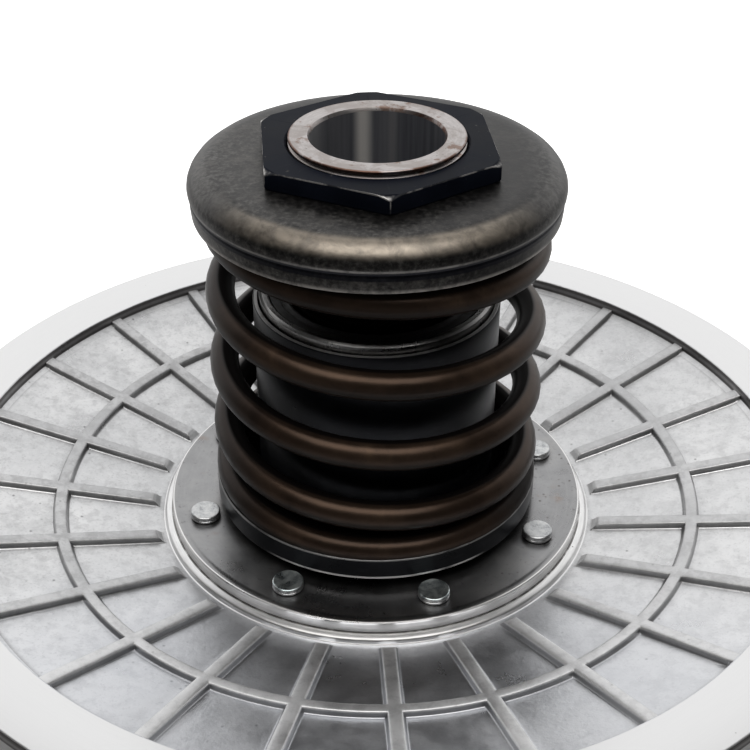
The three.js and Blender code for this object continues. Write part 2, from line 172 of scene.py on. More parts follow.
def fillet(points, steps):
    """Points (a, b) or (a, b, radius); corners with a radius become arcs."""
    out = []
    for i, point in enumerate(points):
        corner = np.array(point[:2], float)
        radius = point[2] if len(point) > 2 else 0.0
        if radius <= 0:
            out.append(tuple(corner))
            continue
        back = np.array(points[i - 1][:2], float) - corner
        ahead = np.array(points[(i + 1) % len(points)][:2], float) - corner
        back_len, ahead_len = np.linalg.norm(back), np.linalg.norm(ahead)
        back, ahead = back / back_len, ahead / ahead_len
        angle = math.acos(max(-1, min(1, float(back @ ahead))))
        if angle > math.pi - 0.02:                          # nearly straight
            out.append(tuple(corner))
            continue
        reach = min(radius / math.tan(angle / 2), back_len * 0.49, ahead_len * 0.49)
        radius = reach * math.tan(angle / 2)
        middle = (back + ahead) / np.linalg.norm(back + ahead)
        centre = corner + middle * (radius / math.sin(angle / 2))
        first, last = corner + back * reach - centre, corner + ahead * reach - centre
        start, end = math.atan2(first[1], first[0]), math.atan2(last[1], last[0])
        sweep = (end - start + math.pi) % (2 * math.pi) - math.pi
        for k in range(steps + 1):
            turn = start + sweep * k / steps
            out.append((centre[0] + radius * math.cos(turn), centre[1] + radius * math.sin(turn)))
    return out


def wrapped_faces(columns, rows):
    """Faces of a grid that closes on itself both ways, stored column by column."""
    faces = []
    for k in range(columns):
        here, there = k * rows, ((k + 1) % columns) * rows
        for i in range(rows):
            j = (i + 1) % rows
            faces.append((here + i, there + i, there + j, here + j))
    return faces


def revolve(points, segs, steps):
    """A closed (radius, z) outline turned about Z. Returns vertices and faces."""
    outline = fillet(points, steps)
    verts = []
    for k in range(segs):
        angle = 2 * math.pi * k / segs
        c, s = math.cos(angle), math.sin(angle)
        verts += [(radius * c, radius * s, z) for radius, z in outline]
    return np.array(verts), wrapped_faces(segs, len(outline))


def clean(verts, faces):
    """Drop repeated corners, as on the axis, and faces left with fewer than three."""
    out = []
    for face in faces:
        seen, keep = [], []
        for i in face:
            key = tuple(np.round(verts[i], 5))
            if key not in seen:
                seen.append(key)
                keep.append(i)
        if len(keep) >= 3:
            out.append(tuple(keep))
    return out


def add_lathe(name, points, segs, steps, **part):
    verts, faces = revolve(points, segs, steps)
    return add_part(name, verts, clean(verts, faces), **part)


def mirror_z(verts):
    verts = np.array(verts, float)
    verts[:, 2] = MIRROR_Z - verts[:, 2]
    return verts


# ------------------------------------------------------------------ shader tools
def rgba(color):
    """A shader value as it is, a number as grey, or (r, g, b) made opaque."""
    if isinstance(color, Value):
        return color
    return (*color, 1) if isinstance(color, tuple) else (color, color, color, 1)


class Value:
    """A node output that can be used in arithmetic; comparisons give 0 or 1."""

    def __init__(self, graph, socket):
        self.graph, self.socket = graph, socket

    def __add__(self, other):
        return self.graph.math("ADD", self, other)

    def __sub__(self, other):
        return self.graph.math("SUBTRACT", self, other)

    def __rsub__(self, other):
        return self.graph.math("SUBTRACT", other, self)

    def __mul__(self, other):
        return self.graph.math("MULTIPLY", self, other)

    def __truediv__(self, other):
        return self.graph.math("DIVIDE", self, other)

    def __gt__(self, other):
        return self.graph.math("GREATER_THAN", self, other)

    def __lt__(self, other):
        return self.graph.math("LESS_THAN", self, other)

    def __abs__(self):
        return self.graph.math("ABSOLUTE", self)

    def max(self, other):
        return self.graph.math("MAXIMUM", self, other)

    def add_clamped(self, other):
        return self.graph.math("ADD", self, other, clamp=True)

    def fade(self, start, end, out=(0.0, 1.0)):
        """Smooth change from out[0] at start to out[1] at end."""
        return self.graph.value("ShaderNodeMapRange", 0,
                                {0: self, 1: start, 2: end, 3: out[0], 4: out[1]},
                                interpolation_type="SMOOTHSTEP")

    def band(self, rise, full, fall, end):
        """0 up to rise, 1 from full to fall, 0 again from end."""
        return self.fade(rise, full) * self.fade(end, fall)

    def spread(self, low, high):
        """The middle of a noise, 0.3 to 0.7, stretched to low..high."""
        return self.fade(0.3, 0.7, (low, high))

    def ramp(self, *stops):
        """Colours along the value; stops are (position, colour)."""
        node = self.graph.node("ShaderNodeValToRGB", {0: self})
        elements = node.color_ramp.elements
        while len(elements) < len(stops):
            elements.new(0.5)
        for element, (position, color) in zip(elements, stops):
            element.position = position
            element.color = rgba(color)
        return Value(self.graph, node.outputs[0])

    def shades(self, first, last):
        return self.ramp((0.3, first), (0.7, last))

    def paint(self, *layers):
        """Lay (colour, amount) layers over this colour in turn."""
        color = self
        for layer, amount in layers:
            color = self.graph.mix(amount, color, layer)
        return color


class Graph:
    """The node tree of a material or world, emptied and ready to build."""

    def __init__(self, owner, coords="Object"):
        owner.use_nodes = True
        self.owner, self.tree = owner, owner.node_tree
        self.tree.nodes.clear()
        self.coords = self.value("ShaderNodeTexCoord", coords)

    def node(self, kind, inputs=None, **props):
        node = self.tree.nodes.new(kind)
        for key, value in props.items():
            setattr(node, key, value)
        for key, value in (inputs or {}).items():
            if isinstance(value, Value):
                self.tree.links.new(value.socket, node.inputs[key])
            elif value is not None:
                node.inputs[key].default_value = value
        return node

    def value(self, kind, output, inputs=None, **props):
        return Value(self, self.node(kind, inputs, **props).outputs[output])

    def math(self, operation, *args, clamp=False):
        return self.value("ShaderNodeMath", 0, dict(enumerate(args)),
                          operation=operation, use_clamp=clamp)

    def mix(self, amount, first, second):
        return self.value("ShaderNodeMix", 2, {0: amount, 6: rgba(first), 7: rgba(second)},
                          data_type="RGBA", clamp_factor=True)

    def noise(self, scale, detail=4.0, rough=0.55, distort=0.0, vector=None, stretch=None):
        vector = vector or self.coords
        if stretch:
            vector = self.value("ShaderNodeMapping", 0, {"Scale": stretch, "Vector": vector})
        return self.value("ShaderNodeTexNoise", "Fac", {
            "Scale": scale, "Detail": detail, "Roughness": rough, "Distortion": distort,
            "Vector": vector})

    def specks(self, scale, size):
        """Scattered dots: 1 in the middle of a cell, 0 beyond size (in cell units)."""
        cells = self.value("ShaderNodeTexVoronoi", "Distance",
                           {"Scale": scale, "Vector": self.coords})
        return cells.fade(0.0, size, (1, 0))

    def split(self, vector):
        return [Value(self, out) for out in self.node("ShaderNodeSeparateXYZ", {0: vector}).outputs]

    def position(self):
        """x, y, z of the point, in metres."""
        return self.split(self.coords)

    def radius(self, x, y):
        return self.math("SQRT", x * x + y * y)

    def angle(self, x, y):
        return self.math("ARCTAN2", y, x)

    def vector(self, *parts):
        return self.value("ShaderNodeCombineXYZ", 0, dict(enumerate(parts)))

    def turning_marks(self, scale, turn):
        """Noise drawn out round Z; the smaller turn is, the longer the marks."""
        x, y, z = self.position()
        polar = self.vector(self.radius(x, y) * 1.0, self.angle(x, y) * (0.03 * turn), z * 1.0)
        return self.noise(scale, detail=3, rough=0.6, vector=polar)

    def bumps(self, *layers):
        """A normal from (height, strength, distance in metres) layers."""
        normal = None
        for height, strength, distance in layers:
            normal = self.value("ShaderNodeBump", 0, {
                "Strength": strength, "Distance": distance, "Height": height, "Normal": normal})
        return normal

    def openness(self, distance, samples=5):
        """1 in the open, towards 0 in cavities."""
        return self.value("ShaderNodeAmbientOcclusion", "AO", {"Distance": distance},
                          samples=samples)

    def geometry(self, output):
        return self.value("ShaderNodeNewGeometry", output)

    def attribute(self, name):
        return self.value("ShaderNodeAttribute", "Fac", attribute_name=name)

    def finish(self, color, rough, metal, normal=None, spec=None, glow=None):
        shader = self.value("ShaderNodeBsdfPrincipled", 0, {
            "Base Color": color, "Roughness": rough, "Metallic": metal, "Normal": normal,
            "Specular IOR Level": spec, "Emission Strength": glow,
            "Emission Color": None if glow is None else (1, 1, 1, 1)})
        self.node("ShaderNodeOutputMaterial", {0: shader})
        return self.owner


def material(name):
    return Graph(bpy.data.materials.new(name))


# ------------------------------------------------------------------ materials
def cast_skin():
    """Die-cast aluminium with machined rim, boss edge and belt face."""
    mat = material("cast_aluminium_skin")
    x, y, z = mat.position()
    radius = mat.radius(x, y)
    clouds = mat.noise(22, rough=0.58, distort=0.2)
    blots = mat.noise(70, detail=5, rough=0.62, distort=0.2)
    mottle = mat.noise(330, detail=5, rough=0.66, distort=0.2)
    streaks = mat.noise(230, distort=0.1, stretch=(1, 1, 0.4))
    grain = mat.noise(1500, detail=3, rough=0.6)
    sparkle = mat.noise(760, rough=0.7)
    specks = mat.specks(330, size=0.16) * mat.noise(60, detail=2).fade(0.54, 0.60)
    edge_highlight = mat.geometry("Pointiness").fade(0.515, 0.60)
    cast = clouds.ramp(
        (0.30, (0.60, 0.605, 0.615)), (0.5, (0.74, 0.743, 0.75)), (0.68, (0.86, 0.86, 0.863)),
    ).paint(
        ((0.44, 0.443, 0.45), blots.fade(0.32, 0.56, (0.55, 0))),
        ((0.40, 0.40, 0.405), mottle.fade(0.36, 0.54, (0.34, 0))),
        ((0.86, 0.86, 0.865), sparkle.fade(0.46, 0.62, (0.0, 0.22))),
        ((0.38, 0.38, 0.385), streaks.fade(0.58, 0.70, (0, 0.22))),
        ((0.40, 0.40, 0.405), grain.fade(0.54, 0.70, (0, 0.35))),
        (0.07, specks * 0.85),
        # painted shade in cavities and at the foot of the ribs
        ((0.16, 0.16, 0.165), mat.openness(0.0020).fade(0.30, 0.90, (0.80, 0))),
        # painted highlight along convex edges
        (0.97, edge_highlight * 0.70),
    )

    # masks of the machined regions; height is folded so both sheaves read alike
    turned = mat.turning_marks(2600, turn=0.15)
    rim = radius > 0.09480
    boss = radius < FLOOR_R0 * MM
    folded = z.paint((MIRROR_Z * MM - z, z < 0.02360))
    height = mat.value("ShaderNodeSeparateColor", 0, {0: folded})
    face = (height - (radius - FACE_IN * MM) * FACE_TAN) < (FLAT_Z + 1.2) * MM
    face = face.max(height < (FLAT_Z + 0.9) * MM)
    machined = rim.max(boss).max(face)

    # rib tops: brighter at the front, partly rubbed and partly painted highlight; duller than the floor
    # elsewhere as painted shade
    over = height - (radius - FLOOR_R0 * MM) * FLOOR_SLOPE - FLOOR_Z0 * MM
    rib = over.fade(0.00080, 0.00128) * (radius < 0.0938)
    front = (y * -1.0 / radius).fade(0.35, 0.85)
    away = rib * (1.0 - front)
    flank = over.band(0.00006, 0.00024, 0.00080, 0.00120) * (radius < 0.0930)
    cast = cast.paint(
        ((0.90, 0.90, 0.905), rib * front * mottle.fade(0.36, 0.60, (0.40, 0.75))),
        ((0.65, 0.675, 0.735), front * (0.45 - rib * 0.45)),         # bluish front floor
        ((0.46, 0.46, 0.465), away * mottle.fade(0.36, 0.60, (0.70, 0.35))),
        # painted shade on the rib flanks
        ((0.15, 0.15, 0.155), flank * 0.54),
        ((0.88, 0.88, 0.883), x.fade(0.015, 0.060, (0.0, 0.16))),    # paler to the right: painted light
    )
    cast_rough = blots.spread(0.27, 0.40) + rib * 0.14

    # machined metal, with painted shade on the front of the boss
    boss_front = (y * -1.0 / radius).fade(0.62, 0.90) * radius.fade(0.04890, 0.04874)
    pores = mat.specks(420, size=0.13) * mat.noise(120, detail=2).fade(0.62, 0.67)
    # oily joint between the flange edge and the boss, with pits beside it
    upper = height > 0.0335
    joint = radius.fade(0.04736, 0.04752, (1, 0)) * upper
    joint = joint * mat.noise(300, detail=3, rough=0.6).fade(0.36, 0.52, (0.45, 0.9))
    pits = mat.specks(600, size=0.22) * radius.fade(0.0478, 0.0484, (1, 0)) * upper
    pits = pits * mat.noise(170, detail=2).fade(0.56, 0.61)
    metal_color = turned.shades((0.825, 0.825, 0.827), 0.84).paint(
        (0.80, clouds.fade(0.58, 0.75, (0, 0.08))),
        (turned.shades(0.80, (0.97, 0.965, 0.96)), boss),
        (turned.shades(0.34, (0.52, 0.515, 0.51)), boss_front * boss * 0.85),
        ((0.10, 0.09, 0.08), pores),
        ((0.13, 0.125, 0.12), joint),
        ((0.02, 0.018, 0.017), pits),
    )

    # painted shade on the wall inside the rim, a little lighter at mid-height
    wall = (radius > 0.09415) * height.fade(0.0436, 0.0439) * height.fade(0.04605, 0.0459)
    wall = wall * abs(height - 0.0448).fade(0.0002, 0.0006, (0.62, 0.90))
    color = cast.paint((metal_color, machined), ((0.13, 0.12, 0.12), wall))

    cast_normal = mat.bumps((clouds, 0.20, 0.0007), (blots, 0.30, 0.00032),
                            (mottle, 0.34, 0.00016), (grain, 0.32, 0.00007))
    normal = mat.value("ShaderNodeMix", 1, {
        0: machined, 4: cast_normal, 5: mat.bumps((turned, 0.03, 0.00002))}, data_type="VECTOR")
    rough = cast_rough * (1.0 - machined) + machined * 0.30
    # the outer pockets on the front are greyer with oxide and scatter more light
    oxide = y.fade(-0.060, -0.084) * abs(x).fade(0.004, 0.030, (0.35, 1.0))
    oxide = oxide * (1.0 - machined)
    metal = 0.95 - oxide * blots.fade(0.34, 0.60, (0.16, 0.34))
    return mat.finish(color, rough, metal, normal)


def plate_skin():
    """Ground steel sleeve and hub flange: fine stains and small pits."""
    mat = material("flange_steel_skin")
    x, y, z = mat.position()
    radius = mat.radius(x, y)
    clouds = mat.noise(60, detail=6, rough=0.68, distort=0.4)
    fine = mat.noise(900, rough=0.62)
    turned = mat.turning_marks(1500, turn=0.10)
    # pits come in patches, with more of them at the right
    right = x.fade(0.030, 0.038)
    right = right * mat.noise(90, detail=3, rough=0.6).fade(0.44, 0.52, (0, 0.8))
    patches = mat.noise(55, detail=3, rough=0.6).fade(0.55, 0.64, (0, 0.7)).add_clamped(right)
    wall = (radius > 0.04695) * (z < 0.0377)
    color = clouds.ramp(
        (0.30, (0.27, 0.27, 0.275)), (0.52, (0.36, 0.36, 0.365)), (0.72, (0.45, 0.445, 0.44)),
    ).paint(
        ((0.48, 0.475, 0.47), turned.fade(0.45, 0.75, (0, 0.18))),
        ((0.16, 0.15, 0.15), fine.fade(0.60, 0.72, (0, 0.45))),
        ((0.055, 0.035, 0.03), mat.specks(420, size=0.20) * patches * 0.9),
        ((0.30, 0.23, 0.19), mat.noise(130).fade(0.62, 0.75, (0, 0.45))),    # warm stains
        ((0.95, 0.94, 0.93), radius.fade(0.04655, 0.0468)),                  # painted highlight on the edge
        # painted shade in cavities, where parts close in
        ((0.05, 0.045, 0.045), mat.openness(0.004).fade(0.25, 0.85, (0.75, 0))),
        (turned.shades((0.74, 0.735, 0.73), (0.96, 0.955, 0.95)), wall),
    )
    rough = clouds.spread(0.26, 0.38) + wall * 0.22
    normal = mat.bumps((turned, 0.12, 0.00004), (fine, 0.15, 0.00005))
    return mat.finish(color, rough, 1.0, normal)


def hub_skin():
    """Turned hub tube: stained bright end ring, polished bore with painted reflections, oily dark post."""
    mat = material("hub_steel_skin")
    x, y, z = mat.position()
    radius, angle = mat.radius(x, y), mat.angle(x, y)
    turned = mat.turning_marks(2400, turn=0.12)
    clouds = mat.noise(160, detail=5, rough=0.65, distort=0.5)
    fine = mat.noise(1400, rough=0.6)
    # both edges of the end ring; the inner one only at the right
    lip = radius.fade(0.01745, 0.01775)
    lip = lip.max(radius.fade(0.01410, 0.01385) * x.fade(0.0, 0.009))
    lip = lip * z.fade(0.1244, 0.1248)
    chips = mat.specks(900, size=0.20) * mat.noise(300, detail=2).fade(0.50, 0.57)

    # honed bore: lengthwise polish marks, and painted reflection strips on its back wall
    bore = (radius < 0.01390) * (z < 0.12475)
    lengthwise = mat.vector(angle * (BORE_R * MM), z * 0.03)
    hone = mat.noise(900, rough=0.6, vector=lengthwise)
    streaks = mat.noise(170, detail=3, vector=lengthwise)
    strips = angle.band(1.60, 1.78, 1.82, 1.98)
    strips = strips.max(angle.band(1.22, 1.32, 1.34, 1.44) * 0.14)
    bore_color = hone.shades((0.10, 0.105, 0.12), (0.17, 0.175, 0.195)).paint(
        ((0.22, 0.22, 0.235), streaks.fade(0.45, 0.60, (0, 0.5))),
        ((0.36, 0.36, 0.37), angle.fade(2.35, 2.75) * 0.7),                 # left side: painted light
        ((0.85, 0.82, 0.78), strips * 0.9),
    )

    post = (z < 0.1186) * (radius > 0.0175)
    oily = mat.noise(90, rough=0.6).shades((0.045, 0.040, 0.038), (0.095, 0.085, 0.080))
    color = turned.shades((0.42, 0.395, 0.385), (0.54, 0.505, 0.495)).paint(
        ((0.34, 0.30, 0.28), clouds.fade(0.44, 0.58, (0, 0.65))),
        ((0.16, 0.085, 0.060), lip * clouds.fade(0.36, 0.56, (0.25, 0.95))),
        ((0.20, 0.12, 0.085), mat.noise(260, rough=0.6).fade(0.56, 0.66, (0, 0.85))),
        ((0.04, 0.03, 0.026), chips),
        (bore_color, bore),
        (oily, post),
    )
    rough = clouds.spread(0.28, 0.42) * (1.0 - bore) + bore * 0.50
    rough = rough * (1.0 - post) + post * 0.17
    normal = mat.bumps((turned, 0.10, 0.00004), (fine, 0.14, 0.00005))
    return mat.finish(color, rough, 1.0 - bore * 0.55, normal)


def cup_skin():
    """Phosphated pressed steel, dark grey, with a warm painted highlight on the roundover, patchy like wear.
    """
    mat = material("pressed_cup_skin")
    x, y, z = mat.position()
    radius = mat.radius(x, y)
    fine = mat.noise(900, detail=5, rough=0.68)
    mottle = mat.noise(250, detail=5, rough=0.65, distort=0.4)
    clouds = mat.noise(46, rough=0.6, distort=0.8)
    # painted sheen near the left and right edges
    side_sheen = abs(x).fade(0.0270, 0.0370) * fine.fade(0.40, 0.64)
    front = (y * -1.0 / radius).fade(0.50, 0.88)
    # roundover: painted highlight, warm at the front and greyer at the sides, patchy like wear
    wear_and_highlight = z.band(0.1169, 0.1182, 0.1199, 0.1204) * radius.fade(0.0335, 0.0350)
    wear_and_highlight = wear_and_highlight * mottle.fade(0.30, 0.62, (0.45, 1.0))
    lip = z.fade(0.1114, 0.1106) * (radius > 0.0372)
    seam = z.band(0.1128, 0.1132, 0.1146, 0.1148)
    line = z.band(0.1147, 0.1149, 0.1152, 0.1154)           # pale line above the seam
    color = fine.ramp(
        (0.30, (0.018, 0.0175, 0.018)), (0.50, (0.056, 0.054, 0.052)),
        (0.72, (0.150, 0.144, 0.137)),
    ).paint(
        ((0.115, 0.108, 0.100), mottle.fade(0.48, 0.68, (0, 0.45))),
        ((0.028, 0.027, 0.029), clouds.fade(0.50, 0.70, (0, 0.40))),
        ((0.020, 0.0195, 0.020), x.fade(-0.004, 0.030, (0.0, 0.55))),       # darker right: painted shade
        ((0.19, 0.186, 0.182), side_sheen * 0.50),
        ((0.36, 0.315, 0.260), wear_and_highlight * front * 0.90),
        ((0.16, 0.155, 0.15), wear_and_highlight * (1.0 - front) * 0.35),
        ((0.32, 0.30, 0.28), lip * mottle.fade(0.40, 0.60, (0.30, 0.95))),
        ((0.011, 0.012, 0.018), seam * 0.85),
        ((0.24, 0.23, 0.22), line * mottle.fade(0.35, 0.6, (0.2, 0.7))),
    )
    normal = mat.bumps((fine, 0.28, 0.00010), (mottle, 0.15, 0.00018))
    return mat.finish(color, fine.spread(0.32, 0.46), 0.95, normal)


def nut_skin():
    """Black oxide; a mesh attribute paints its corners and edges bright, as wear and partly as painted
    highlight.
    """
    mat = material("black_oxide_skin")
    fine = mat.noise(700, rough=0.6)
    clouds = mat.noise(110, rough=0.6, distort=0.6)
    wear_and_highlight = mat.attribute("wear_and_highlight").fade(0.15, 0.95) * mat.noise(170).fade(0.44, 0.58, (0.05, 1.0))
    color = clouds.shades((0.0040, 0.0054, 0.0098), (0.0078, 0.0100, 0.0170)).paint(
        ((0.62, 0.60, 0.58), wear_and_highlight),
        ((0.11, 0.105, 0.10), mat.noise(620).fade(0.68, 0.74, (0, 0.5))),   # small scuffs
    )
    normal = mat.bumps((fine, 0.12, 0.00006))
    return mat.finish(color, clouds.spread(0.30, 0.42), wear_and_highlight, normal, spec=0.03)


def collar_skin():
    """Black coated collar, satin: edges rubbed bright, a painted highlight on the front of the lower edge,
    painted shade under the spring.
    """
    mat = material("black_collar_skin")
    x, y, z = mat.position()
    radius = mat.radius(x, y)
    fine = mat.noise(800, rough=0.6)
    clouds = mat.noise(70, rough=0.6, distort=0.6)
    turned = mat.turning_marks(1500, turn=0.12)
    patches = mat.noise(46, detail=5, rough=0.6).fade(0.34, 0.46, (0.25, 1.0))
    front = mat.angle(x, y).band(-2.30, -2.05, -1.00, -0.85)
    low_edge = z.band(0.04055, 0.04075, 0.0411, 0.0413) * (radius > 0.0357)
    top_edge = z.fade(0.0452, 0.0454) * (radius > 0.0356)
    rim = (z > 0.0889) * (radius < 0.02625)
    # painted highlight on the front of the lower edge, in patches like wear; the top edge and the rim are
    # rubbed bright
    wear_and_highlight = (low_edge * patches * front).add_clamped(top_edge * patches * 0.30)
    wear_and_highlight = wear_and_highlight.add_clamped(rim * clouds.fade(0.36, 0.62, (0.30, 0.62)))
    # painted shade: the seat and the tube just above it, under the spring
    seat = z.band(0.04520, 0.04545, 0.0480, 0.0520) * radius.fade(0.03615, 0.0358)
    color = clouds.shades((0.0040, 0.0046, 0.0062), (0.0090, 0.0098, 0.0128)).paint(
        ((0.032, 0.034, 0.038), turned.fade(0.55, 0.75, (0, 0.25))),
        ((0.72, 0.71, 0.70), wear_and_highlight),
        ((0.0030, 0.0030, 0.0034), seat),
    )
    rough = clouds.spread(0.27, 0.38) + seat * 0.50
    normal = mat.bumps((turned, 0.06, 0.00004), (fine, 0.08, 0.00005))
    # the seat under the spring is matt, with painted shade
    return mat.finish(color, rough, (1.0 - seat) * 0.55, normal, spec=(1.0 - seat) * 0.28)


def spring_skin():
    """Brown coated spring wire; the mesh attribute "tip" darkens its lower end."""
    mat = material("spring_wire_skin")
    x, y, z = mat.position()
    radius = mat.radius(x, y)
    clouds = mat.noise(60, detail=5, rough=0.6, distort=0.5)
    fine = mat.noise(900, rough=0.62)
    # painted shade on the side facing the collar, the undersides and the narrow gaps; the ground tip is
    # darker too
    dark = (radius.fade(0.0342, 0.0331) * 0.97).max(mat.attribute("tip") * 0.85)
    under = mat.split(mat.geometry("Normal"))[2].fade(0.55, -0.35)
    shaded = mat.openness(0.0075, samples=6).fade(0.80, 0.35)
    dark = dark.max(under.max(shaded) * 0.85)
    color = clouds.ramp(
        (0.3, (0.034, 0.0215, 0.0150)), (0.55, (0.064, 0.0405, 0.0275)),
        (0.75, (0.105, 0.067, 0.044)),
    ).paint(
        ((0.020, 0.015, 0.013), fine.fade(0.58, 0.72, (0, 0.4))),
        ((0.024, 0.0215, 0.0215), x.fade(-0.020, -0.034, (0.0, 0.80))),     # left side: painted shade
        ((0.030, 0.0225, 0.0195), x.fade(0.022, 0.035, (0.0, 0.55))),       # right side: painted shade
        ((0.0045, 0.0038, 0.0038), dark),
    )
    normal = mat.bumps((fine, 0.12, 0.00006))
    return mat.finish(color, clouds.spread(0.28, 0.38), (1.0 - dark) * 0.75, normal,
                      spec=(1.0 - dark) * 0.35)


def rivet_skin():
    """Zinc-coated rivet heads, with a green-blue tint on the front ones."""
    mat = material("zinc_rivet_skin")
    x, y, z = mat.position()
    fine = mat.noise(1200, rough=0.6)
    mottle = mat.noise(560, detail=5, rough=0.7, distort=0.2)
    front = y.fade(-0.026, -0.034) * (z > 0.0395)
    tint = mat.mix(mottle.fade(0.4, 0.6), (0.52, 0.60, 0.61), (0.74, 0.81, 0.80))
    color = mottle.ramp(
        (0.34, (0.36, 0.37, 0.38)), (0.5, (0.60, 0.61, 0.615)), (0.68, (0.80, 0.80, 0.79)),
    ).paint(
        (tint, front * 0.75),
        # painted shade round the foot of the head
        ((0.06, 0.05, 0.05), mat.openness(0.0012).fade(0.3, 0.8, (0.85, 0))),
    )
    normal = mat.bumps((mottle, 0.35, 0.00012), (fine, 0.12, 0.00005))
    return mat.finish(color, mottle.spread(0.26, 0.40), 1.0, normal)


def sleeve_skin():
    """Ground sleeve end and bearing steel."""
    mat = material("bright_steel_skin")
    turned = mat.turning_marks(2400, turn=0.10)
    clouds = mat.noise(120, rough=0.6, distort=0.4)
    color = turned.shades((0.26, 0.255, 0.25), (0.42, 0.415, 0.41)).paint(
        ((0.07, 0.066, 0.063), clouds.fade(0.50, 0.68, (0, 0.6))))
    normal = mat.bumps((turned, 0.10, 0.00004))
    return mat.finish(color, clouds.spread(0.24, 0.36), 1.0, normal)


def rubber_skin():
    mat = material("seal_rubber_skin")
    fine = mat.noise(900, rough=0.6)
    color = fine.shades(0.010, (0.022, 0.021, 0.020))
    return mat.finish(color, fine.spread(0.45, 0.62), 0.0, mat.bumps((fine, 0.15, 0.00006)))


def bronze_skin():
    mat = material("bearing_metal_skin")
    fine = mat.noise(900, rough=0.6)
    color = mat.noise(140, rough=0.6).shades((0.36, 0.24, 0.11), (0.52, 0.37, 0.18))
    return mat.finish(color, fine.spread(0.30, 0.45), 1.0, mat.bumps((fine, 0.12, 0.00005)))


SKINS = {
    "cast": cast_skin(), "plate": plate_skin(), "hub": hub_skin(), "cup": cup_skin(),
    "nut": nut_skin(), "collar": collar_skin(), "spring": spring_skin(),
    "rivet": rivet_skin(), "sleeve": sleeve_skin(), "rubber": rubber_skin(),
    "bronze": bronze_skin(),
}


# ------------------------------------------------------------------ sheaves
RIB_N, RIB_PHASE, RIB_H = 24, 3.0, 1.5      # count, angle of the first in degrees, height
# rib cross-section: distance from the middle, and share of RIB_H there
RIB_OFFSETS = [0.0, 0.70, 1.15, 1.30, 1.40, 1.50, 1.64, 1.80, 1.92, 2.08, 2.35]
RIB_SHARES = [1.0, 0.985, 0.95, 0.915, 0.86, 0.74, 0.46, 0.20, 0.09, 0.025, 0.0]
# sloping inner end of a rib: radius, and the most share of RIB_H allowed there
RIB_END_R = [49.95, 50.25, 50.5, 51.75, 51.95, 52.15]
RIB_END_SHARES = [0.0, 0.03, 0.12, 0.94, 0.99, 1.0]
RING_R, RING_TRIM = 72.1, 0.2               # ring rib: radius, narrower than a rib by
# radii of the floor rows outside the rib ends and the ring rib
FLOOR_ROWS = [54.5, 56.5, 59, 62, 65, 67.5, 76.5, 79, 82, 85, 88, 90.5, 91.3, 92.1, 92.8,
              93.4, 93.8, 94.1, 94.3]
# rounded edge from the boss down to the floor: radius, z
BOSS_EDGE = [(47.5, 35.46), (47.95, 35.33), (48.35, 35.19), (48.6, 35.07), (48.77, 34.92),
             (48.89, 34.72), (48.98, 34.48), (49.05, 34.22)]
FOOT_R = 91.0                               # the floor curves up to the rim from here
rng = np.random.default_rng(7)


def rib_share(distance):
    return float(np.interp(distance, RIB_OFFSETS, RIB_SHARES))


def belt_point(radius):
    return radius, FLAT_Z + (radius - FACE_IN) * FACE_TAN


def sheave_columns():
    """(rib angle, offset in mm or None, fraction of the way to mid-sector, up to 2)."""
    thirds = [0.18, 0.40, 0.66]
    fractions = thirds + [1.0] + [2.0 - f for f in thirds[::-1]]
    columns = []
    for k in range(RIB_N):
        phase = math.radians(RIB_PHASE + 360 / RIB_N * k)
        columns += [(phase, -d, None) for d in RIB_OFFSETS[:0:-1]]
        columns += [(phase, d, None) for d in RIB_OFFSETS]
        columns += [(phase, None, f) for f in fractions]
    return columns


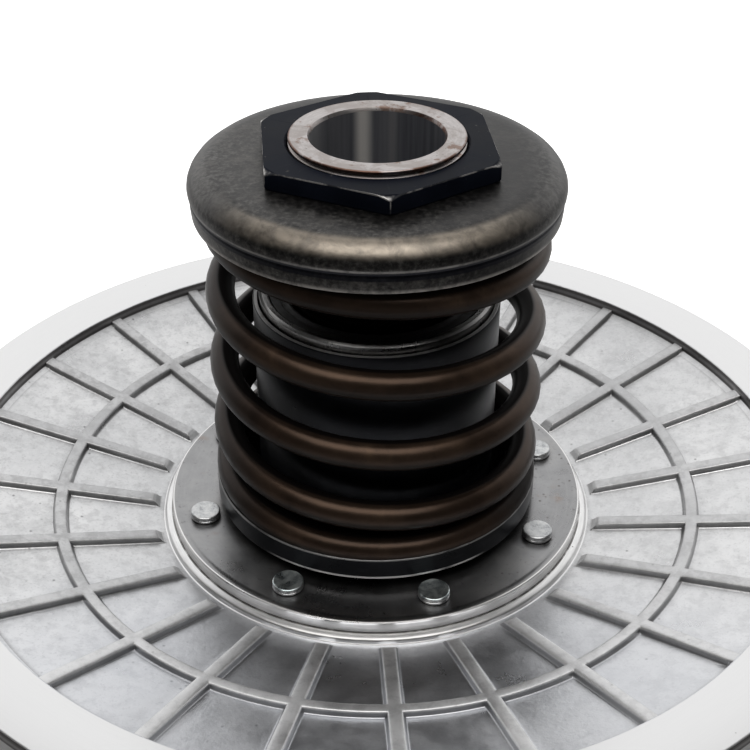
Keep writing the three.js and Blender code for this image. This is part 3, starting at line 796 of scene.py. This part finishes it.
def sheave_mesh(bore):
    """A closed skin on a polar grid: columns follow the rib edges, rows the outline."""
    half = math.pi / RIB_N
    ring = {RING_R - side * (d - RING_TRIM) for d in RIB_OFFSETS[2:] for side in (-1, 1)}
    ring |= {RING_R, RING_R - 0.6, RING_R + 0.6}
    rows = [FLOOR_R0, 49.5, *np.arange(49.9, 53.3, 0.28), *FLOOR_ROWS, *ring]
    rows = sorted({round(row, 3) for row in rows})
    rim = fillet([
        (94.3, FLOOR_Z1 + 0.4), (94.55, RIM_Z, 0.25), (SHEAVE_R, RIM_Z, 0.55),
        (*belt_point(SHEAVE_R), 0.7), belt_point(80.0),
    ], 4)[1:-1]
    face = [belt_point(radius) for radius in (100, 90, 80, 70, 60, 50, 45)]
    inside = [
        (FACE_IN, FLAT_Z), (36, FLAT_Z), (bore + 0.4, FLAT_Z), (bore, FLAT_Z + 0.4),
        (bore, BOSS_Z - 0.4), (bore + 0.4, BOSS_Z),
    ]
    # the last value eases each column from its angle at the rim to that at the boss
    outline = [(*point, 0.0) for point in rim + face]
    outline += [(*point, (i + 1) / len(inside)) for i, point in enumerate(inside)]
    outline += [(*point, 1.0) for point in [(FLANGE_R + 0.2, BOSS_Z)] + BOSS_EDGE]
    # waves of the as-cast surface: height, count round, phase, twist per mm
    waves = [(rng.uniform(0.02, 0.05), rng.integers(2, 9), rng.uniform(0, 6.28),
              rng.uniform(0.05, 0.2)) for _ in range(6)]

    def column_angle(column, radius):
        phase, offset, fraction = column
        if offset is not None:
            return phase + math.asin(offset / radius)
        edge = math.asin(RIB_OFFSETS[-1] / radius)
        if fraction <= 1.0:
            return phase + edge + (half - edge) * fraction
        return phase + 2 * half - (edge + (half - edge) * (2.0 - fraction))

    def floor_height(column, radius, angle):
        phase, _, fraction = column
        past_middle = fraction is not None and fraction > 1.0
        away = phase + 2 * half - angle if past_middle else angle - phase
        end = float(np.interp(radius, RIB_END_R, RIB_END_SHARES))
        share = max(min(rib_share(abs(radius * math.sin(away))), end),
                    rib_share(abs(radius - RING_R) + RING_TRIM))
        foot = 0.5 * ((radius - FOOT_R) / 3.4) ** 2.2 if radius > FOOT_R else 0.0
        z = FLOOR_Z0 + (radius - FLOOR_R0) * FLOOR_SLOPE + max(share * RIB_H, foot)
        if FLOOR_R0 + 0.5 < radius < 93.5:
            z += 0.6 * sum(height * math.sin(count * angle + start + twist * radius)
                           for height, count, start, twist in waves)
        return z

    verts, columns = [], sheave_columns()
    for column in columns:
        for radius in rows:
            angle = column_angle(column, radius)
            z = floor_height(column, radius, angle)
            verts.append((radius * math.cos(angle), radius * math.sin(angle), z))
        outer, inner = column_angle(column, rows[-1]), column_angle(column, rows[0])
        for radius, z, ease in outline:
            angle = outer * (1 - ease) + inner * ease
            verts.append((radius * math.cos(angle), radius * math.sin(angle), z))
    return np.array(verts), wrapped_faces(len(columns), len(rows) + len(outline))


def build_sheaves():
    for side, body, bore in (("sliding", "sliding_sheave", 25.4), ("fixed", "hub", 24.3)):
        verts, faces = sheave_mesh(bore)
        if side == "fixed":
            verts = mirror_z(verts)
        add_part(f"{side}_sheave_casting", verts, faces, body, "cast_aluminium",
                 f"{side}_sheave", ["cast"], smooth=38, weighted=False)


# ------------------------------------------------------------------ cutters
def prism(name, outline, lift):
    """Closed solid: the 2D outline at two levels, mapped by lift(a, b, level)."""
    n = len(outline)
    verts = [lift(a, b, level) for level in (0, 1) for a, b in outline]
    faces = [(i, (i + 1) % n, n + (i + 1) % n, n + i) for i in range(n)]
    faces += [tuple(range(n))[::-1], tuple(range(n, 2 * n))]
    return mesh_object(name, verts, faces)


def pin_cutter(angle):
    """A cylinder that points outwards at angle."""
    pin_r, inner, outer, segs = 3.1, 9.0, 22.0, 40
    c, s = math.cos(angle), math.sin(angle)
    turns = [2 * math.pi * i / segs for i in range(segs)]

    def lift(a, b, level):
        out = outer if level else inner
        return out * c - a * s, out * s + a * c, PIN_Z + b
    return prism("pin_cut", [(pin_r * math.cos(t), pin_r * math.sin(t)) for t in turns], lift)


def spline_cutter():
    teeth, minor, major = 20, 11.3, 12.7
    # one groove: angle as a share of the pitch, radius
    groove = [(-0.285, minor - 1.3), (-0.205, major - 0.12), (-0.185, major),
              (0.185, major), (0.205, major - 0.12), (0.285, minor - 1.3)]
    outline = []
    for k in range(teeth):
        for share, radius in groove:
            angle = (k + share) * 2 * math.pi / teeth
            outline.append((radius * math.cos(angle), radius * math.sin(angle)))
    return prism("spline_cut", outline, lambda a, b, level: (a, b, 41.0 if level else -3.0))


def slot_cutter(start_angle):
    """A round-ended helical slot that falls from the pin height as it turns."""
    ref_r, twist, travel, half = 22.9, math.radians(40), 20.0, 4.85
    inner, outer = 19.6, 26.6
    straight, quarter, across = 24, 7, 8    # segment counts
    length = math.hypot(ref_r * twist, travel)
    dir_s, dir_z = -ref_r * twist / length, -travel / length

    def at(u, v, radius):
        angle = start_angle + (u * dir_s - v * dir_z) / ref_r
        z = PIN_Z + u * dir_z + v * dir_s
        return radius * math.cos(angle), radius * math.sin(angle), z

    cap = [(half * math.sin(math.pi * i / (2 * quarter)),
            -half * math.cos(math.pi * i / (2 * quarter))) for i in range(1, quarter + 1)]
    edge = [(-u, v) for u, v in cap[::-1]]
    edge += [(length * i / straight, -half) for i in range(straight + 1)]
    edge += [(length + u, v) for u, v in cap]

    # strips across the slot keep the skins on their radii
    verts, faces = [], []
    for radius in (inner, outer):
        for u, v in edge:
            for j in range(across + 1):
                t = j / across
                verts.append(at(u, v * (1 - t) - v * t, radius))
    width = across + 1
    base = len(edge) * width
    for i in range(len(edge) - 1):
        for j in range(across):
            a, b = i * width + j, (i + 1) * width + j
            faces.append((a, b, b + 1, a + 1))
            faces.append((base + a, base + a + 1, base + b + 1, base + b))
        for j in (0, across):
            a, b = i * width + j, (i + 1) * width + j
            faces.append((a, b, base + b, base + a))
    for i in (0, len(edge) - 1):
        for j in range(across):
            a = i * width + j
            faces.append((a, a + 1, base + a + 1, base + a))
    ob = mesh_object("slot_cut", verts, faces)
    with editing(ob.data) as bm:                            # close the tips of the round ends
        bmesh.ops.remove_doubles(bm, verts=bm.verts, dist=1e-7)
        bmesh.ops.dissolve_degenerate(bm, dist=1e-7, edges=bm.edges)
        bmesh.ops.recalc_face_normals(bm, faces=bm.faces)
    return ob


# ------------------------------------------------------------------ hub
def build_hub():
    flange_low = MIRROR_Z - FLANGE_Z
    flange_top = flange_low + FLANGE_T
    plate_low = flange_low + FLANGE_Z - PLATE_Z
    cup_seat, pitch = 118.37, 1.5
    root_r = THREAD_R - 0.72
    thread = []
    for z in np.arange(H_TOP - 1.05, cup_seat + 0.9, -pitch)[::-1]:
        thread += [(THREAD_R, z - 0.42, 0.04), (root_r, z - 0.05, 0.06),
                   (root_r, z + 0.03, 0.06), (THREAD_R, z + 0.40, 0.04)]
    outline = [
        (12.6, 0.0, 0.25), (20.0, 0.0, 0.6), (20.0, plate_low, 0.5), (PLATE_R, plate_low),
        (STEP_R, flange_low + 0.04), (LAND_R, flange_low), (FLANGE_R, flange_low, 0.35),
        (FLANGE_R, flange_top, 0.1), (24.0, flange_top, 0.3), (24.0, 21.0, 0.3),
        (POST_R, 22.4, 0.8), (POST_R, cup_seat, 0.15), (THREAD_R, cup_seat, 0.1),
        *thread,
        (THREAD_R, H_TOP, 0.28), (BORE_R + 0.38, H_TOP, 0.08), (BORE_R, H_TOP - 0.75, 0.12),
        (BORE_R, 38.0, 0.3), (11.3, 36.0, 0.3), (11.3, 1.2, 0.2),
    ]
    verts, faces = revolve(outline, 240, 3)
    cutters = [spline_cutter()] + [pin_cutter(angle) for angle in QUARTERS]
    add_part("hub_tube", verts, faces, "hub", "hub_steel", "fixed_hub", ["hub", "plate"],
             cutters=cutters, second=lambda radius, z: radius > 20.5 and z < 12.2)


# ------------------------------------------------------------------ sleeve
def build_sleeve():
    pocket, inner, groove_r = 23.2, 20.7, 23.6

    def groove(z):
        return [(SLEEVE_R, z - 0.95, 0.1), (groove_r, z - 0.95, 0.1),
                (groove_r, z + 0.95, 0.1), (SLEEVE_R, z + 0.95, 0.1)]

    outline = [
        (pocket, SLEEVE_LOW, 0.2), (SLEEVE_R, SLEEVE_LOW, 0.2),
        (SLEEVE_R, FLANGE_Z - FLANGE_T), (FLANGE_R, FLANGE_Z - FLANGE_T, 0.15),
        (FLANGE_R, FLANGE_Z, 0.40), (LAND_R, FLANGE_Z), (STEP_R, FLANGE_Z - 0.04),
        (PLATE_R, PLATE_Z), (30.0, PLATE_Z, 0.2), (30.0, 40.3, 0.2), (SLEEVE_R, 40.3, 0.2),
        *groove(44.4), *groove(83.5),
        (SLEEVE_R, 90.75, 0.15), (24.55, SLEEVE_TOP, 0.15), (pocket + 0.5, SLEEVE_TOP, 0.1),
        (pocket, SLEEVE_TOP - 0.5, 0.1), (pocket, 85.9, 0.1), (inner, 85.9, 0.1),
        (inner, 29.4, 0.1), (pocket, 29.4, 0.1),
    ]
    verts, faces = revolve(outline, 224, 3)
    add_part("sliding_sleeve_tube", verts, faces, "sliding_sheave", "sleeve_steel",
             "sliding_sleeve", ["plate", "sleeve"],
             cutters=[slot_cutter(angle) for angle in QUARTERS],
             second=lambda radius, z: z > 42.0)


# ------------------------------------------------------------------ rivets
def rivet_mesh(draw, angle):
    """A rivet of the upper flange, with a slightly uneven head."""
    circle_r = 40.3
    base, top = PLATE_Z + 0.03, PLATE_Z + 1.70
    tilt = draw.uniform(-0.05, 0.05, 2)
    head = 3.30 + draw.uniform(-0.04, 0.04)
    verts, faces = revolve([
        (0, FLAT_Z + 0.05), (2.3, FLAT_Z + 0.05, 0.2), (2.5, FLAT_Z + 0.3), (2.5, base),
        (head - 0.15, base, 0.06), (head + 0.03, base + 0.20, 0.1),
        (head + 0.03, base + 0.52, 0.1), (head - 0.13, base + 0.66, 0.05),
        (head - 0.13, base + 0.74, 0.05), (head, base + 0.88, 0.1), (head, top - 0.16, 0.16),
        (head - 0.20, top, 0.16), (2.6, top + 0.01), (1.6, top - 0.02), (0.8, top - 0.06),
        (0, top - 0.05),
    ], 48, 4)
    x, y, z = verts.T
    z[z > base + 0.6] += ((x * tilt[0] + y * tilt[1]) * 0.5)[z > base + 0.6]
    faces = clean(verts, faces)
    spin = draw.uniform(0, 6.28)
    c, s = math.cos(spin), math.sin(spin)
    verts = np.stack([x * c - y * s + circle_r * math.cos(angle),
                      x * s + y * c + circle_r * math.sin(angle), z], 1)
    return verts, faces


def build_rivets():
    for side, body, seed in (("sleeve", "sliding_sheave", 40), ("hub", "hub", 49)):
        for k in range(8):
            draw = np.random.default_rng(seed + k)
            verts, faces = rivet_mesh(draw, math.radians(-72.3 + 45 * k))
            if side == "hub":
                verts = mirror_z(verts)
            add_part(f"{side}_rivet_head_{k + 1}", verts, faces, body, "zinc_steel",
                     f"{side}_rivet_{k + 1}", ["rivet"], smooth=35)


# ------------------------------------------------------------------ cup, collar, nut, seals
# outlines: radius, z and, at rounded corners, the fillet radius
CUP_OUTLINE = [
    (18.15, 118.4, 0.2), (32.8, 118.4), (34.1, 118.25), (35.3, 117.75), (36.25, 116.7),
    (36.65, 115.4), (36.7, 114.4), (36.55, 113.2), (36.55, 110.2, 0.3), (37.85, 110.2, 0.45),
    (38.05, 112.2), (38.12, 113.75, 0.15), (37.98, 114.15, 0.2), (38.18, 114.6, 0.2),
    (38.42, 115.2), (38.5, 115.9), (38.38, 116.8), (37.95, 117.85), (37.2, 118.85),
    (36.1, 119.65), (34.8, 120.15), (33.4, 120.34), (31.5, 120.4), (18.15, 120.4, 0.25),
]
COLLAR_OUTLINE = [
    (25.4, 40.5, 0.2), (36.3, 40.5, 0.35), (36.3, SEAT_Z, 0.3), (32.5, SEAT_Z),
    (27.6, SEAT_Z, 0.8), (26.4, 47.0, 0.6), (26.4, 89.3, 0.3), (25.4, 89.3, 0.15),
]
UPPER_SEAL_OUTLINE = [
    (20.4, 86.3, 0.1), (22.95, 86.3, 0.2), (22.95, 90.75, 0.2), (21.3, 90.75, 0.15),
    (21.1, 90.2, 0.2), (20.6, 90.0, 0.2), (19.9, 90.7, 0.15), (19.4, 90.55, 0.15),
    (19.25, 89.6, 0.15), (19.9, 88.2, 0.3), (20.4, 87.6, 0.3),
]


def build_cup():
    add_lathe("spring_cup_pressing", CUP_OUTLINE, 256, 3, body="hub", slot="pressed_steel",
              replaced="spring_cup", skins=["cup"])


def build_collar():
    add_lathe("seal_collar_tube", COLLAR_OUTLINE, 224, 4, body="spring_seat",
              slot="black_steel", replaced="seal_collar", skins=["collar"])


def build_seals():
    """The lower seal is the upper one turned over, at the other end of the sleeve."""
    lower = [(radius, SLEEVE_LOW + SLEEVE_TOP - z, *rest) for radius, z, *rest in UPPER_SEAL_OUTLINE]
    for end, outline in (("upper", UPPER_SEAL_OUTLINE), ("lower", lower)):
        add_lathe(f"{end}_seal_ring", outline, 192, 3, body="sliding_sheave",
                  slot="black_rubber", replaced=f"{end}_oil_seal", skins=["rubber"], smooth=40)


def hexagon(across_flats, phase, corner_r, arc_steps, side_steps):
    """Rounded hexagon: an arc, then points along the side, six times over."""
    reach = across_flats / math.sqrt(3)
    turns = [phase + math.radians(60 * k) for k in range(6)]
    corners = [(reach * math.cos(t), reach * math.sin(t), corner_r) for t in turns]
    arcs = np.array(fillet(corners, arc_steps)).reshape(6, arc_steps + 1, 2)
    points = []
    for k in range(6):
        points += list(arcs[k])
        start, end = arcs[k][-1], arcs[(k + 1) % 6][0]
        points += [start + (end - start) * i / side_steps for i in range(1, side_steps)]
    return points


def build_nut():
    low, top, hole = 120.45, 124.3, THREAD_R + 0.25
    slope, flat_r = math.tan(math.radians(30)), 25.3        # chamfer outside flat_r
    arc_steps, side_steps = 6, 24
    points = hexagon(46, math.radians(-84.63), 0.5, arc_steps, side_steps)
    verts, wear_and_highlight = [], {}

    def key(point):
        return tuple(np.round(point, 2))

    for i, point in enumerate(points):
        radius = float(np.hypot(*point))
        direction = point / radius
        chamfer = top - max(0.0, radius - flat_r) * slope
        edge = min(radius, flat_r)
        foot = low + max(0.0, radius - 25.9) * 0.3
        line = [
            (hole, low + 0.4), (hole, top - 0.7), (hole + 0.12, top - 0.35),
            (hole + 0.5, top - 0.02), (hole + 0.62, top), (edge - 0.3, top),
            (edge - 0.08 if radius <= flat_r else edge, top), (radius - 0.03, chamfer - 0.03),
            (radius, chamfer - 0.14), (radius, chamfer - 0.40), (radius, foot + 0.25),
            (radius - 0.12, foot), (hole + 0.4, low),
        ]
        at_corner = i % (arc_steps + side_steps) in (2, 3, 4)
        for j, (out, z) in enumerate(line):
            vert = (direction[0] * out, direction[1] * out, z)
            # rows 7 and 8 run along the top edge, 9 and 10 down the side; these are painted bright, as wear
            # and partly as painted highlight
            amount = 1.0 if j in (7, 8) else 0.8 if at_corner and j in (9, 10) else 0.0
            verts.append(vert)
            wear_and_highlight[key(vert)] = max(amount, wear_and_highlight.get(key(vert), 0.0))
    ob = add_part("lock_nut_hexagon", np.array(verts), wrapped_faces(len(points), len(line)),
                  "hub", "oxide_steel", "lock_nut", ["nut"], smooth=24)
    field = ob.data.attributes.new("wear_and_highlight", "FLOAT", "POINT")
    for i, vert in enumerate(ob.data.vertices):
        field.data[i].value = wear_and_highlight.get(key(np.array(vert.co) / MM), 0.0)


# ------------------------------------------------------------------ spring
# wire centre: turns from the lower end, and height
COIL_TURNS = [0, 0.25, 0.5, 1.0, 1.25, 2.0, 2.25, 3.0,
              3.25, 4.0, 4.25, 4.5, 4.75, 5.0, 5.25, 5.5]
COIL_Z = [45.2, 46.2, 47.9, 52.4, 55.0, 67.9, 70.5, 84.4,
          87.3, 102.2, 105.7, 108.4, 109.8, 111.3, 113.3, 115.0]
WIRE_R, COIL_R = 3.1, 33.15
COIL_START = 2.0                            # angle of the lower end, degrees
GROUND_Z = SEAT_Z + 0.03                    # plane of the ground end coil
SPRING_TOP = 118.0


def pchip(knots, values, at):
    """Monotone cubic curve through the values at the knots."""
    knots, values = np.array(knots, float), np.array(values, float)
    gaps = np.diff(knots)
    rates = np.diff(values) / gaps
    slopes = np.zeros(len(knots))
    slopes[0], slopes[-1] = rates[0], rates[-1]
    for i in range(1, len(knots) - 1):
        if rates[i - 1] * rates[i] > 0:
            before, after = 2 * gaps[i] + gaps[i - 1], gaps[i] + 2 * gaps[i - 1]
            slopes[i] = (before + after) / (before / rates[i - 1] + after / rates[i])
    i = np.clip(np.searchsorted(knots, at) - 1, 0, len(knots) - 2)
    t = (at - knots[i]) / gaps[i]
    return (values[i] * (1 + 2 * t) * (1 - t) ** 2 + values[i + 1] * t * t * (3 - 2 * t)
            + gaps[i] * slopes[i] * t * (1 - t) ** 2 + gaps[i] * slopes[i + 1] * t * t * (t - 1))


def build_spring():
    count, sides = int(COIL_TURNS[-1] * 56), 28
    turns = np.linspace(0, COIL_TURNS[-1], count)
    angle = np.radians(COIL_START - 360 * turns)
    z = pchip(COIL_TURNS, COIL_Z, turns)
    centres = np.stack([COIL_R * np.cos(angle), COIL_R * np.sin(angle), z], 1)
    along = np.gradient(centres, axis=0)
    along /= np.linalg.norm(along, axis=1)[:, None]
    outward = np.stack([np.cos(angle), np.sin(angle), np.zeros(count)], 1)
    upward = np.cross(along, outward)
    upward /= np.linalg.norm(upward, axis=1)[:, None]
    upward *= np.sign(upward[:, 2])[:, None]
    # each stretch closes up in proportion to its free gap
    free = np.maximum(np.gradient(z, turns) - 2 * WIRE_R - 0.15, 0.0)
    share = np.concatenate([[0.0], np.cumsum((free[1:] + free[:-1]) / 2 * np.diff(turns))])
    share /= share[-1]

    verts, weights = [], []
    for i in range(count):
        for j in range(sides):
            turn = 2 * math.pi * j / sides
            u, v = WIRE_R * math.cos(turn), WIRE_R * math.sin(turn)
            point = centres[i] + outward[i] * u + upward[i] * v
            if point[2] < GROUND_Z:                         # ground end coil
                drop = GROUND_Z - centres[i][2]
                wide = math.sqrt(max(WIRE_R ** 2 - drop * drop, 0.0))
                point = centres[i] + outward[i] * max(-wide, min(wide, u))
                point[2] = GROUND_Z
            verts.append(point)
            weights.append(1 - share[i])
    faces = []
    for i in range(count - 1):
        here, there = i * sides, (i + 1) * sides
        for j in range(sides):
            jj = (j + 1) % sides
            faces.append((here + j, here + jj, there + jj, there + j))
    for i, sign in ((0, 1), (count - 1, -1)):               # bevelled end caps
        start, cap = i * sides, len(verts)
        centre = np.mean(verts[start:start + sides], axis=0)
        for j in range(sides):
            verts.append(centre + (verts[start + j] - centre) * 0.86 - along[i] * sign * 0.25)
            weights.append(weights[start])
        for j in range(sides):
            jj = (j + 1) % sides
            faces.append((start + j, start + jj, cap + jj, cap + j))
        faces.append(tuple(range(cap, cap + sides)))
    ob = mesh_object("compression_spring_wire", verts, faces)
    shade(ob, 50)
    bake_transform(ob, "hub", "spring_seat", start=(0, 0, SPRING_TOP * MM), end=(0, 0, SEAT_Z * MM))
    # each cross-section of the wire moves as one, so the wire stays round
    blend = ob.data.attributes["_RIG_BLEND"]
    blend.data.foreach_set("value", np.array(weights, np.float32))
    tips = np.repeat(np.clip((0.20 - turns) / 0.12, 0, 1), sides)
    tips = np.concatenate([tips, np.ones(len(verts) - len(tips))])
    dark = ob.data.attributes.new("tip", "FLOAT", "POINT")
    dark.data.foreach_set("value", tips.astype(np.float32))
    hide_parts("compression_spring")
    wear(ob, "spring")


# ------------------------------------------------------------------ CAD pieces that stay
def dress_kept_pieces():
    for node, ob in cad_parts.items():
        if ob.hide_render:
            continue
        rubber = "ring" in node or "seal" in node
        wear(ob, "bronze" if "bush" in node else "rubber" if rubber else "sleeve")
        mesh = ob.data
        mesh.polygons.foreach_set("use_smooth", [True] * len(mesh.polygons))
        bm = bmesh.new()
        bm.from_mesh(mesh)
        mark_sharp(bm, 35)
        sharp = [not edge.smooth for edge in bm.edges]
        bm.free()
        for edge, flag in zip(mesh.edges, sharp):
            edge.use_edge_sharp = flag


# ------------------------------------------------------------------ stage, metres
def floor_skin():
    mat = material("floor_paper")
    color = mat.noise(3, detail=2).shades(0.93, 0.96)
    light_path = mat.node("ShaderNodeLightPath")
    glossy = Value(mat, light_path.outputs["Is Glossy Ray"])
    camera = Value(mat, light_path.outputs["Is Camera Ray"])
    # reflections of the paper on the viewer's side stay dim, like a flagged set
    dim = mat.position()[1].fade(-0.20, 0.25, (0.90, 0.0))
    return mat.finish(color.paint((0.03, glossy * dim)), 0.8, 0.0, glow=camera * 0.85)


def build_stage():
    """A flat disc of paper in rings."""
    segs, radii = 96, (0.4, 1.2, 3.0, 9.0)
    turns = [2 * math.pi * k / segs for k in range(segs)]
    verts = [(r * math.cos(turn), r * math.sin(turn), 0.0) for r in radii for turn in turns]
    faces = [tuple(range(segs))]
    for i in range(len(radii) - 1):
        here, there = i * segs, (i + 1) * segs
        for k in range(segs):
            kk = (k + 1) % segs
            faces.append((here + k, here + kk, there + kk, there + k))
    mesh = bpy.data.meshes.new("floor")
    mesh.from_pydata(verts, [], faces)
    ob = place("floor", mesh)
    ob.location.z = -0.0002
    mesh.materials.append(floor_skin())


def build_world():
    """White surroundings, darker on the viewer's side except to the camera itself."""
    world = bpy.data.worlds.new("studio")
    bpy.context.scene.world = world
    graph = Graph(world, coords="Generated")
    strength = graph.position()[1].fade(0.0, 0.62, (0.05, 1.0))
    strength = strength.max(graph.value("ShaderNodeLightPath", "Is Camera Ray"))
    background = graph.value("ShaderNodeBackground", 0,
                             {"Color": (1, 1, 1, 1), "Strength": strength})
    graph.node("ShaderNodeOutputWorld", {0: background})


def build_light():
    light = bpy.data.lights.new("overhead_softbox", "AREA")
    light.shape = "RECTANGLE"
    light.size, light.size_y = 1.30, 0.85
    light.energy = 8.6
    light.color = (1.0, 0.985, 0.965)
    place_at, target = Vector((0.0, -0.41, 1.14)), Vector((0, 0, 0.10))
    ob = place("overhead_softbox", light)
    ob.location = place_at
    ob.rotation_mode = "QUATERNION"
    ob.rotation_quaternion = (target - place_at).to_track_quat("-Z", "Y")


def build_camera():
    camera = bpy.data.cameras.new("camera")
    camera.sensor_width = 36
    camera.lens = 66.39
    camera.clip_start, camera.clip_end = 0.01, 50
    ob = place("camera", camera)
    right = Vector((0.99999007, 0.00320997, 0.00309126))
    up = Vector((-0.00434201, 0.54561862, 0.83802236))
    forward = Vector((-0.00100338, 0.83802746, -0.54562714))
    pose = Matrix((right, up, -forward)).transposed().to_4x4()
    pose.translation = Vector((0.0, -0.25681875, 0.10992534 + H_TOP * MM))
    ob.matrix_world = pose
    bpy.context.scene.camera = ob


# ------------------------------------------------------------------ build
build_sheaves()
build_hub()
build_sleeve()
build_rivets()
build_cup()
build_collar()
build_nut()
build_seals()
build_spring()
dress_kept_pieces()
build_stage()
build_world()
build_light()
build_camera()
bpy.context.scene.view_settings.view_transform = "Standard"
bpy.context.scene.view_settings.look = "None"
